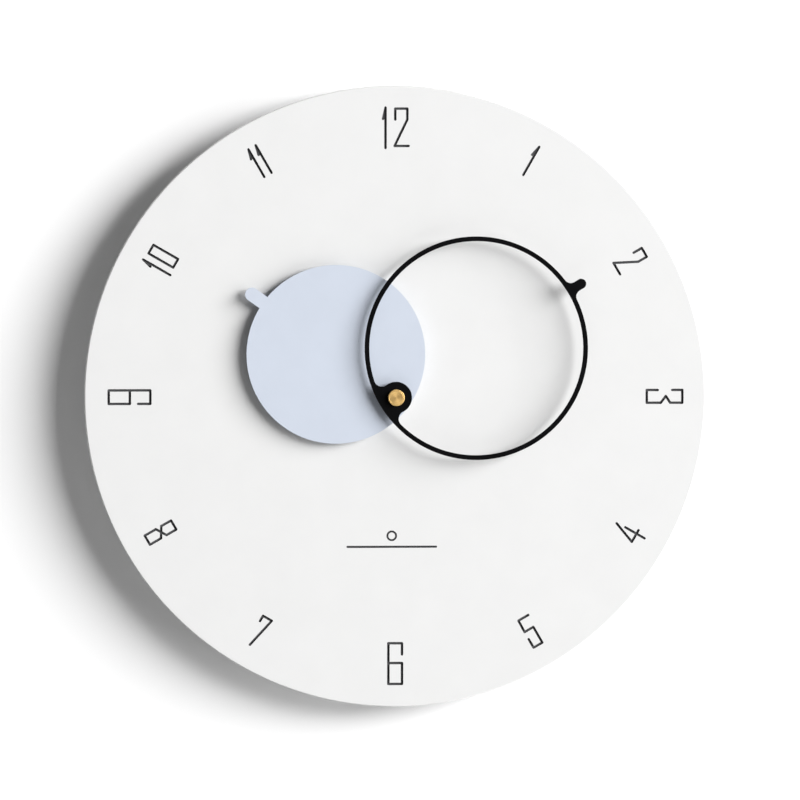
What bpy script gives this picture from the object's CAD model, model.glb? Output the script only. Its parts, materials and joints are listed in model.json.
import json
import math

import bmesh
import bpy
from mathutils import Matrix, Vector


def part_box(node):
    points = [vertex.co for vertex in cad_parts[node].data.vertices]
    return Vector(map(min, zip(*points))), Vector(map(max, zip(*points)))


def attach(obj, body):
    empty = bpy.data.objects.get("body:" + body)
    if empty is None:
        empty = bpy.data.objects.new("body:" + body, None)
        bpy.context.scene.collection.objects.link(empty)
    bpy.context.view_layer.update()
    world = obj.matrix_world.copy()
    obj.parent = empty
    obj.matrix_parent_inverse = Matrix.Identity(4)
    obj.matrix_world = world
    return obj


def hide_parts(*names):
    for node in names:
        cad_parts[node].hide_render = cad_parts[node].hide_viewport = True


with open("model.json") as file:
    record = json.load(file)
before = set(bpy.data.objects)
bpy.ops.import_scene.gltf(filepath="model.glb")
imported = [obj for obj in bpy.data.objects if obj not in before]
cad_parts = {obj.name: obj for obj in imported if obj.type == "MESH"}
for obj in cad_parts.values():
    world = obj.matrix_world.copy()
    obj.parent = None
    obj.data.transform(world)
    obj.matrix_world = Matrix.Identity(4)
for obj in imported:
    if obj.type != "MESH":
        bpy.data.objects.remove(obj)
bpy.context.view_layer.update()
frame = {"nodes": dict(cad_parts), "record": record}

NODES = frame["nodes"]
MM = 0.001


# ---- where things are, all read from the frame ----

def middle(node):
    lo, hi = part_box(node)
    return (Vector(lo) + Vector(hi)) / 2


board_lo, board_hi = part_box("face_board")
BOARD = middle("face_board")
FACE_Y = board_lo[1]
BACK_Y = board_hi[1]
BOARD_R = (board_hi[0] - board_lo[0]) / 2
WALL_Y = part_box("felt_pads")[1][1]
SHAFT = middle("centre_cap")


# ---- node helpers ----

class Graph:
    """A material's node tree with short ways to add to it."""

    def __init__(self, name):
        self.mat = bpy.data.materials.new(name)
        self.mat.use_nodes = True
        self.tree = self.mat.node_tree
        self.tree.nodes.clear()
        self.out = self.tree.nodes.new("ShaderNodeOutputMaterial")
        self.coord = self.tree.nodes.new("ShaderNodeTexCoord")

    def node(self, kind, **settings):
        n = self.tree.nodes.new(kind)
        for k, v in settings.items():
            setattr(n, k, v)
        return n

    def set(self, socket, value):
        if isinstance(value, bpy.types.NodeSocket):
            self.tree.links.new(value, socket)
        else:
            socket.default_value = value

    def math(self, operation, a, b=0.0):
        n = self.node("ShaderNodeMath", operation=operation)
        self.set(n.inputs[0], a)
        self.set(n.inputs[1], b)
        return n.outputs[0]

    def split(self, vector):
        """The x, y and z of a vector."""
        n = self.node("ShaderNodeSeparateXYZ")
        self.set(n.inputs[0], vector)
        return n.outputs

    def radius(self, x, z):
        """The distance from the line along Y through the origin."""
        return self.math("SQRT", self.math("ADD", self.math("MULTIPLY", x, x),
                                           self.math("MULTIPLY", z, z)))

    def place(self, centre=(0, 0, 0), scale=(1, 1, 1)):
        """Object coordinates counted from centre, in metres times scale."""
        sub = self.node("ShaderNodeVectorMath", operation="SUBTRACT")
        self.set(sub.inputs[0], self.coord.outputs["Object"])
        sub.inputs[1].default_value = centre
        mul = self.node("ShaderNodeVectorMath", operation="MULTIPLY")
        self.set(mul.inputs[0], sub.outputs[0])
        mul.inputs[1].default_value = scale
        return mul.outputs[0]

    def noise(self, vector, scale, detail=2.0, rough=0.5):
        n = self.node("ShaderNodeTexNoise")
        self.set(n.inputs["Vector"], vector)
        n.inputs["Scale"].default_value = scale
        n.inputs["Detail"].default_value = detail
        n.inputs["Roughness"].default_value = rough
        return n.outputs["Fac"]

    def span(self, value, a, b, lo, hi):
        """value from a..b becomes lo..hi, held at the ends."""
        n = self.node("ShaderNodeMapRange", clamp=True)
        for k, v in (("Value", value), ("From Min", a), ("From Max", b),
                     ("To Min", lo), ("To Max", hi)):
            self.set(n.inputs[k], v)
        return n.outputs[0]

    def mix(self, factor, a, b):
        n = self.node("ShaderNodeMix", data_type="RGBA")
        self.set(n.inputs[0], factor)
        self.set(n.inputs[6], (*a, 1) if isinstance(a, tuple) else a)
        self.set(n.inputs[7], (*b, 1) if isinstance(b, tuple) else b)
        return n.outputs[2]

    def bump(self, height, distance, strength=1.0, normal=None):
        n = self.node("ShaderNodeBump")
        n.inputs["Strength"].default_value = strength
        n.inputs["Distance"].default_value = distance
        self.set(n.inputs["Height"], height)
        if normal is not None:
            self.set(n.inputs["Normal"], normal)
        return n.outputs[0]

    def finish(self, color, rough, normal=None, tangent=None, **fixed):
        """The Principled shader. fixed holds plain numbers, set on the shader's own sockets."""
        p = self.node("ShaderNodeBsdfPrincipled")
        self.set(p.inputs["Base Color"], color if not isinstance(color, tuple) else (*color, 1))
        self.set(p.inputs["Roughness"], rough)
        if normal is not None:
            self.set(p.inputs["Normal"], normal)
        if tangent is not None:
            self.set(p.inputs["Tangent"], tangent)
        for k, v in fixed.items():
            p.inputs[k.replace("_", " ")].default_value = v
        self.set(self.out.inputs["Surface"], p.outputs[0])
        return self.mat


def shade(color, factor):
    return tuple(min(1.0, c * factor) for c in color)


def moulded(name, color, rough=0.5, grain=3000.0, depth=0.02, spread=0.06, **fixed):
    """Moulded or painted surface: slow tone changes, a fine grain and uneven gloss."""
    g = Graph(name)
    at = g.place()
    slow = g.noise(at, 60, 3)
    fine = g.noise(at, grain, 3)
    tone = g.mix(g.span(slow, 0.3, 0.7, 0, 1), shade(color, 1 - spread), shade(color, 1 + spread))
    gloss = g.span(g.noise(at, 240, 3), 0.3, 0.7, rough - 0.06, rough + 0.06)
    return g.finish(tone, gloss, g.bump(fine, depth * MM, 0.6), **fixed)


def metal(name, color, rough=0.3, grain=(900, 900, 900), depth=0.008):
    """Drawn, stamped or plated metal with a fine streaked grain."""
    g = Graph(name)
    streak = g.noise(g.place(scale=grain), 1.0, 3)
    blotch = g.noise(g.place(), 130, 3)
    tone = g.mix(g.span(blotch, 0.3, 0.7, 0, 1), shade(color, 0.9), shade(color, 1.04))
    gloss = g.span(streak, 0.3, 0.7, rough - 0.08, rough + 0.1)
    return g.finish(tone, gloss, g.bump(streak, depth * MM, 0.5), Metallic=1.0)


# ---- materials ----

WHITE = (0.745, 0.745, 0.742)
CHARCOAL = (0.010, 0.010, 0.011)
EDGE_BAND = 6 * MM       # no grooves this near the board's edge
SHAFT_CLEAR = 20 * MM    # nor this near the board's middle
GROOVE_END = 2.5 * MM    # the grooves are not as deep as this
WIRE_PITCH = 0.22 * MM


def board_lacquer():
    """White matt lacquer outside, dark fill on the sides of the engraved grooves."""
    g = Graph("board_lacquer")
    at = g.place((BOARD.x, FACE_Y, BOARD.z))
    x, depth, z = g.split(at)
    radius = g.radius(x, z)
    edge = BOARD_R - EDGE_BAND
    inside = g.math("MULTIPLY", g.span(radius, edge, edge + 1 * MM, 1, 0),
                    g.span(radius, SHAFT_CLEAR, SHAFT_CLEAR + 1 * MM, 0, 1))
    below = g.math("MULTIPLY", g.span(depth, 0.03 * MM, 0.10 * MM, 0, 1),
                   g.span(depth, GROOVE_END, GROOVE_END + 0.1 * MM, 1, 0))
    groove = g.math("MULTIPLY", inside, below)
    mottle = g.noise(at, 38, 4, 0.6)
    speck = g.noise(at, 900, 2)
    tone = g.mix(g.span(mottle, 0.3, 0.7, 0, 1), shade(WHITE, 0.985), shade(WHITE, 1.01))
    tone = g.mix(g.span(speck, 0.70, 0.78, 0, 0.05), tone, shade(WHITE, 0.8))
    color = g.mix(groove, tone, CHARCOAL)
    peel = g.noise(at, 700, 2)
    fibre = g.noise(at, 3600, 2)
    normal = g.bump(fibre, 0.006 * MM, 0.5, g.bump(peel, 0.02 * MM, 0.5))
    gloss = g.span(g.noise(at, 90, 3), 0.3, 0.7, 0.55, 0.65)
    return g.finish(color, gloss, normal, Specular_IOR_Level=0.2)


def turned_brass():
    """Brass faced on a lathe: fine rings about the shaft, a little uneven in tone."""
    g = Graph("turned_brass")
    at = g.place(tuple(SHAFT))
    x, _, z = g.split(at)
    line = g.node("ShaderNodeCombineXYZ")
    g.set(line.inputs[0], g.radius(x, z))
    rings = g.noise(line.outputs[0], 4000, 2)
    soft = g.noise(at, 500, 2)
    tone = g.mix(g.span(rings, 0.35, 0.65, 0, 1), (0.82, 0.51, 0.17), (0.95, 0.67, 0.29))
    tone = g.mix(g.span(soft, 0.4, 0.7, 0, 0.25), tone, (0.70, 0.45, 0.17))
    gloss = g.span(rings, 0.3, 0.7, 0.42, 0.54)
    tangent = g.node("ShaderNodeTangent", direction_type="RADIAL", axis="Y")
    return g.finish(tone, gloss, g.bump(rings, 0.012 * MM, 0.6), tangent.outputs[0],
                    Metallic=1.0, Anisotropic=0.28)


def copper_winding():
    """Fine lacquered wire wound side by side along the coil's length."""
    g = Graph("copper_winding")
    _, _, along = g.split(g.place(tuple(middle("coil_winding"))))
    turns = g.math("SINE", g.math("MULTIPLY", along, 2 * math.pi / WIRE_PITCH))
    tone = g.mix(g.span(turns, -1, 1, 0, 1), (0.28, 0.07, 0.025), (0.80, 0.30, 0.12))
    return g.finish(tone, 0.35, g.bump(turns, 0.05 * MM, 0.8), Metallic=1.0)


def circuit_green():
    """Solder mask with paler copper tracks under it."""
    g = Graph("circuit_green")
    at = g.place(scale=(1, 0, 1))
    cells = g.node("ShaderNodeTexVoronoi", feature="DISTANCE_TO_EDGE", distance="CHEBYCHEV")
    g.set(cells.inputs["Vector"], at)
    cells.inputs["Scale"].default_value = 360
    track = g.span(cells.outputs["Distance"], 0.06, 0.09, 1, 0)
    tone = g.mix(track, (0.010, 0.10, 0.035), (0.035, 0.24, 0.09))
    return g.finish(tone, 0.3, g.bump(track, 0.03 * MM, 0.6))


def cell_sleeve():
    """Printed sleeve with a paler band, and bare metal at both ends."""
    g = Graph("cell_sleeve")
    lo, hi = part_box("battery_cell")
    half = (hi[0] - lo[0]) / 2
    x, _, _ = g.split(g.place(tuple(middle("battery_cell"))))
    band = g.span(x, half * 0.46, half * 0.47, 0, 1)
    end = g.math("MAXIMUM", g.span(x, half - 1.75 * MM, half - 1.7 * MM, 0, 1),
                 g.span(x, -half + 0.6 * MM, -half + 0.65 * MM, 1, 0))
    wear = g.noise(g.place(), 1400, 3)
    stripe = g.math("MULTIPLY", g.span(x, half * 0.45, half * 0.455, 0, 1),
                    g.span(x, half * 0.47, half * 0.475, 1, 0))
    tone = g.mix(band, (0.035, 0.06, 0.12), (0.42, 0.30, 0.12))
    tone = g.mix(stripe, tone, (0.6, 0.58, 0.52))
    tone = g.mix(g.span(wear, 0.62, 0.72, 0, 0.10), tone, (0.3, 0.3, 0.3))
    tone = g.mix(end, tone, (0.62, 0.62, 0.64))
    return g.finish(tone, g.span(end, 0, 1, 0.28, 0.35), g.bump(wear, 0.01 * MM, 0.3),
                    Metallic=0.6, Coat_Weight=0.3)


def felt():
    """Pressed grey fibres."""
    g = Graph("pressed_felt")
    at = g.place()
    fibre = g.noise(at, 2600, 4, 0.8)
    tone = g.mix(g.span(fibre, 0.3, 0.7, 0, 1), (0.05, 0.05, 0.055), (0.16, 0.16, 0.17))
    return g.finish(tone, 0.95, g.bump(fibre, 0.3 * MM, 0.9), Sheen_Weight=0.3)


LOOKS = {
    "board_white": board_lacquer(),
    "groove_fill": moulded("groove_fill", (0.085, 0.085, 0.09), 0.7, 2500, 0.03, 0.15),
    "mark_ink": moulded("mark_ink", (0.022, 0.022, 0.024), 0.6, 2500, 0.01, 0.15),
    "disc_blue": moulded("disc_blue", (0.564, 0.612, 0.70), 0.5, 2600, 0.008, 0.012),
    "ring_black": moulded("ring_black", (0.0035, 0.0035, 0.004), 0.55, 2600, 0.02, 0.2,
                          Specular_IOR_Level=0.03),
    "brass_cap": turned_brass(),
    "brass_turned": metal("brass_plain", (0.78, 0.56, 0.27), 0.3),
    "steel_plated": metal("zinc_plated", (0.62, 0.63, 0.66), 0.34, (500, 500, 2600)),
    "contact_plated": metal("nickel_plated", (0.70, 0.68, 0.64), 0.24, (700, 700, 2600)),
    "lamination_grey": metal("lamination", (0.42, 0.43, 0.46), 0.42, (1200, 1200, 300)),
    "magnet_grey": moulded("magnet", (0.06, 0.06, 0.065), 0.5, 2200, 0.03, 0.15, Metallic=0.4),
    "gasket_rubber": moulded("gasket_rubber", (0.018, 0.018, 0.018), 0.8, 1800, 0.06, 0.2),
    "feet_white": moulded("feet_white", (0.74, 0.74, 0.72), 0.42, 1500, 0.02, 0.03),
    "felt_grey": felt(),
    "case_black": moulded("case_black", (0.022, 0.022, 0.024), 0.62, 1900, 0.07, 0.15),
    "plate_cream": moulded("plate_cream", (0.62, 0.53, 0.33), 0.45, 1700, 0.02, 0.04),
    "gear_ivory": moulded("gear_ivory", (0.76, 0.74, 0.64), 0.38, 1700, 0.015, 0.04,
                          Subsurface_Weight=0.05),
    "gear_amber": moulded("gear_amber", (0.60, 0.27, 0.06), 0.36, 1700, 0.015, 0.08),
    "bobbin_white": moulded("bobbin_white", (0.76, 0.76, 0.70), 0.42, 1700, 0.02, 0.04),
    "winding_copper": copper_winding(),
    "board_green": circuit_green(),
    "chip_epoxy": moulded("chip_epoxy", (0.008, 0.008, 0.008), 0.22, 900, 0.03, 0.2,
                          Coat_Weight=0.4),
    "cell_sleeve": cell_sleeve(),
}

for part in frame["record"]["subparts"]:
    mesh = NODES[part["node"]].data
    mesh.materials.clear()
    mesh.materials.append(LOOKS[part["material_slot"]])


# ---- pieces made finer than the frame's ----

CREASE = math.radians(12)
BACK_DETAIL = []


def finish_piece(name, mesh, slot, body, replaced=()):
    """Gives a new mesh its look and its body. What replaces nothing is detail on the back."""
    mesh.materials.append(LOOKS[slot])
    mesh.shade_smooth()
    mesh.set_sharp_from_angle(angle=CREASE)
    obj = bpy.data.objects.new(name, mesh)
    bpy.context.scene.collection.objects.link(obj)
    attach(obj, body)
    if replaced:
        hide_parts(*replaced)
    else:
        BACK_DETAIL.append(obj)


def lathe(name, profile, slot, body, centre, replaced=(), steps=128):
    """Turns a closed profile of (radius, y) about the line along Y through centre."""
    bm = bmesh.new()
    rows = []
    for r, y in profile:
        if r < 1e-7:
            rows.append([bm.verts.new((centre[0], y, centre[2]))] * steps)
        else:
            rows.append([bm.verts.new((centre[0] + r * math.cos(2 * math.pi * i / steps), y,
                                       centre[2] + r * math.sin(2 * math.pi * i / steps)))
                         for i in range(steps)])
    for a, b in zip(rows, rows[1:]):
        for i in range(steps):
            j = (i + 1) % steps
            corners = list(dict.fromkeys((a[i], a[j], b[j], b[i])))
            if len(corners) > 2:
                bm.faces.new(corners)
    bmesh.ops.recalc_face_normals(bm, faces=bm.faces)
    mesh = bpy.data.meshes.new(name)
    bm.to_mesh(mesh)
    bm.free()
    finish_piece(name, mesh, slot, body, replaced)


def turned_cap():
    """The cap with a rounded rim and a fine turned line inside it."""
    lo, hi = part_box("centre_cap")
    r = (hi[0] - lo[0]) / 2
    front, back = lo[1], hi[1]
    rim = 0.27 * MM
    line_r, line_w, line_d = 3.86 * MM, 0.08 * MM, 0.04 * MM
    profile = [(0, front), (line_r, front), (line_r + line_w, front + line_d),
               (line_r + 2 * line_w, front)]
    rim_steps = 12
    profile += [(r - rim + rim * math.sin(t), front + rim - rim * math.cos(t))
                for t in (math.pi / 2 * k / rim_steps for k in range(rim_steps + 1))]
    profile += [(r, back - 0.1 * MM), (r - 0.1 * MM, back), (0, back)]
    lathe("turned_cap", profile, "brass_cap", "minute_group", SHAFT, ["centre_cap"])


turned_cap()


# ---- moulded detail on the back of the movement ----

def prisms(name, outlines, y0, y1, slot, body):
    """Flat pieces between y0 and y1. Each outline is a list of (x, z) in metres."""
    bm = bmesh.new()
    for outline in outlines:
        near = [bm.verts.new((x, y0, z)) for x, z in outline]
        far = [bm.verts.new((x, y1, z)) for x, z in outline]
        bm.faces.new(near)
        bm.faces.new(far[::-1])
        for i in range(len(outline)):
            j = (i + 1) % len(outline)
            bm.faces.new((near[i], far[i], far[j], near[j]))
    bmesh.ops.recalc_face_normals(bm, faces=bm.faces)
    mesh = bpy.data.meshes.new(name)
    bm.to_mesh(mesh)
    bm.free()
    finish_piece(name, mesh, slot, body)


def bar(x, z, w, h):
    """A w by h rectangle about (x, z), given in millimetres from the shaft."""
    return [(SHAFT.x + (x + sx * w / 2) * MM, SHAFT.z + (z + sz * h / 2) * MM)
            for sx, sz in ((-1, -1), (1, -1), (1, 1), (-1, 1))]


def arrow(centre, radius, start, end, width):
    """A curved arrow round centre from one angle to another, in degrees."""
    def at(r, a):
        return (centre.x + r * math.cos(math.radians(a)), centre.z + r * math.sin(math.radians(a)))
    steps = 14
    turn = [start + (end - start) * k / steps for k in range(steps + 1)]
    tip = end + (end - start) * 0.28
    head = [at(radius + width * 1.5, end), at(radius, tip), at(radius - width * 1.5, end)]
    outside = [at(radius + width / 2, a) for a in turn]
    inside = [at(radius - width / 2, a) for a in reversed(turn)]
    return outside + head + inside


COVER_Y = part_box("rear_cover")[1][1]
RELIEF = COVER_Y + 0.16 * MM
UNDER = COVER_Y - 0.1 * MM


def knob_surround():
    """A low collar round the knob, with an arrow on each side of it."""
    knob = middle("setting_knob")
    lo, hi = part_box("setting_knob")
    inner = (hi[0] - lo[0]) / 2 + 0.5 * MM
    outer = inner + 0.9 * MM
    top = COVER_Y + 0.3 * MM
    ease = 0.1 * MM
    collar = [(inner, UNDER), (inner, top - ease), (inner + ease, top), (outer - ease, top),
              (outer, top - ease), (outer, UNDER), (inner, UNDER)]
    lathe("knob_surround", collar, "case_black", "clock", knob, steps=72)
    r = outer + 1.4 * MM
    arrows = [arrow(knob, r, start, start + 55, 0.45 * MM) for start in (150, -30)]
    prisms("setting_arrows", arrows, UNDER, RELIEF, "case_black", "clock")


def cell_marks():
    """The raised outline of a cell over the bay, with its plus and minus ends."""
    z, half_w, half_h, line = -5.6, 13.0, 2.6, 0.35
    across, up = 2 * half_w + line, 2 * half_h - line
    marks = [bar(0, z + half_h, across, line), bar(0, z - half_h, across, line),
             bar(-half_w, z, line, up), bar(half_w, z, line, up), bar(half_w + 0.9, z, 1.0, 1.8)]
    sign, stroke = 2.4, 0.5
    arm, arm_at = (sign - stroke) / 2, 0.73
    plus, minus = half_w - 3.2, -half_w + 3.2
    marks += [bar(plus, z, sign, stroke), bar(plus, z + arm_at, stroke, arm),
              bar(plus, z - arm_at, stroke, arm), bar(minus, z, sign, stroke)]
    prisms("cell_marks", marks, UNDER, RELIEF, "case_black", "clock")


def ejector_marks():
    """Shallow rings that the mould's pins leave."""
    r, w, top = 1.6 * MM, 0.12 * MM, COVER_Y + 0.05 * MM
    ring = [(r, UNDER), (r, top), (r + w, top), (r + w, UNDER), (r, UNDER)]
    for i, (x, z) in enumerate(((-20, 19), (20, 19), (-20, 3), (20, 3))):
        at = Vector((SHAFT.x + x * MM, 0, SHAFT.z + z * MM))
        lathe("pin_mark_%d" % i, ring, "case_black", "clock", at, steps=40)


def side_clips():
    """Snap tongues of the cover over the sides of the case."""
    lo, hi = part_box("movement_case")
    sunk, out = 0.2 * MM, 0.5 * MM
    root, tip = 3 * MM, 2.7 * MM
    pieces = []
    for side, x in ((-1, lo[0]), (1, hi[0])):
        for z in (SHAFT.z + 14 * MM, SHAFT.z - 4 * MM):
            a, b = sorted((x - side * sunk, x + side * out))
            pieces.append([(a, z - root), (b, z - tip), (b, z + tip), (a, z + root)])
    prisms("side_clips", pieces, COVER_Y - 4.2 * MM, COVER_Y - 0.6 * MM, "case_black", "clock")


knob_surround()
cell_marks()
ejector_marks()
side_clips()


# ---- the wall ----

WALL_HALF = 4.0


def wall():
    """A white painted wall at the pads' back faces, clear from behind to show the clock's back."""
    g = Graph("wall_paint")
    at = g.place()
    roller = g.noise(at, 160, 4, 0.6)
    patches = g.span(g.noise(at, 5, 2), 0.3, 0.7, 0, 1)
    tone = g.mix(patches, (0.955, 0.955, 0.955), (0.97, 0.97, 0.97))
    normal = g.bump(roller, 0.05 * MM, 0.4)
    diffuse = g.node("ShaderNodeBsdfDiffuse")
    g.set(diffuse.inputs["Color"], tone)
    g.set(diffuse.inputs["Normal"], normal)
    clear = g.node("ShaderNodeBsdfTransparent")
    side = g.node("ShaderNodeNewGeometry")
    mixer = g.node("ShaderNodeMixShader")
    g.set(mixer.inputs[0], side.outputs["Backfacing"])
    g.set(mixer.inputs[1], diffuse.outputs[0])
    g.set(mixer.inputs[2], clear.outputs[0])
    g.set(g.out.inputs["Surface"], mixer.outputs[0])
    mesh = bpy.data.meshes.new("wall")
    y = WALL_Y + 0.05 * MM
    corners = [(x * WALL_HALF, y, z * WALL_HALF) for x, z in ((-1, -1), (1, -1), (1, 1), (-1, 1))]
    mesh.from_pydata(corners, [], [(0, 1, 2, 3)])
    mesh.materials.append(g.mat)
    obj = bpy.data.objects.new("wall", mesh)
    bpy.context.scene.collection.objects.link(obj)
    obj.visible_shadow = False


wall()


# ---- light ----

WINDOW_X = 6.0


def panel(name, power, centre, size, turn):
    """A large soft lamp. centre counts from the middle of the face, size is its own x and y."""
    lamp = bpy.data.lights.new(name, "AREA")
    lamp.energy, lamp.shape = power, "RECTANGLE"
    lamp.size, lamp.size_y = size
    obj = bpy.data.objects.new(name, lamp)
    obj.location = (BOARD.x + centre[0], FACE_Y + centre[1], BOARD.z + centre[2])
    obj.rotation_euler = turn
    obj.visible_camera = False
    bpy.context.scene.collection.objects.link(obj)
    return obj


def window(name, power, out, up):
    """A window far off to the right. out and up are its reaches before and above the face."""
    panel(name, power, (WINDOW_X, -sum(out) / 2, sum(up) / 2), (up[1] - up[0], out[1] - out[0]),
          (0, math.pi / 2, 0))


window("window", 1560, (1.6, 10.2), (0.6, 4.2))
window("low_window", 235, (1.2, 7.2), (-3.9, -0.3))
panel("floor_bounce", 25, (0.3, -2.0, -2.5), (4.0, 3.0), (math.pi, 0, 0))

# the room behind is dim, so the wall's shadow stays deep; a second lamp lights what is behind
# the board alone, which is mostly dark plastic
BACK = Vector((-2.6, 4.0, 2.6))
BACK_TURN = BACK.to_track_quat("Z", "Y").to_euler()
BACK_SIZE = (3.0, 3.0)
panel("back_room", 28, BACK, BACK_SIZE, BACK_TURN)
behind_board = bpy.data.collections.new("behind_board")
front_limit = BACK_Y - 1.5 * MM
for piece in [NODES[n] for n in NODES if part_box(n)[0][1] > front_limit] + BACK_DETAIL:
    behind_board.objects.link(piece)
movement_light = panel("movement_light", 170, BACK, BACK_SIZE, BACK_TURN)
movement_light.light_linking.receiver_collection = behind_board

# the sky is a pale backdrop, but a dim light
SKY_LIGHT, SKY_SEEN = 0.12, 0.80
world = bpy.data.worlds.new("studio")
world.use_nodes = True
tree = world.node_tree
sky = tree.nodes["Background"]
sky.inputs["Color"].default_value = (1, 1, 1, 1)
seen = tree.nodes.new("ShaderNodeLightPath")
strength = tree.nodes.new("ShaderNodeMapRange")
strength.inputs["To Min"].default_value = SKY_LIGHT
strength.inputs["To Max"].default_value = SKY_SEEN
tree.links.new(seen.outputs["Is Camera Ray"], strength.inputs["Value"])
tree.links.new(strength.outputs["Result"], sky.inputs["Strength"])
bpy.context.scene.world = world


# ---- camera: almost square to the face, a little to the left and above, a long lens ----

DISTANCE = 6.0
BOARD_SHARE = 0.77675   # of the picture's width
SENSOR = 36
AIM = Vector((BOARD.x + 2.66 * MM, FACE_Y, BOARD.z - 1.88 * MM))
LEFT, ABOVE = math.radians(3.0), math.radians(2.8)
camera_data = bpy.data.cameras.new("camera")
camera_data.sensor_width = SENSOR
camera_data.lens = SENSOR * DISTANCE * BOARD_SHARE / (BOARD_R * 2)
camera = bpy.data.objects.new("camera", camera_data)
away = Vector((-math.sin(LEFT) * math.cos(ABOVE), -math.cos(LEFT) * math.cos(ABOVE),
               math.sin(ABOVE)))
camera.location = AIM + away * DISTANCE
camera.rotation_euler = (-away).to_track_quat("-Z", "Y").to_euler()
bpy.context.scene.collection.objects.link(camera)
bpy.context.scene.camera = camera

view_settings = bpy.context.scene.view_settings
view_settings.view_transform = "Standard"
view_settings.look = "None"
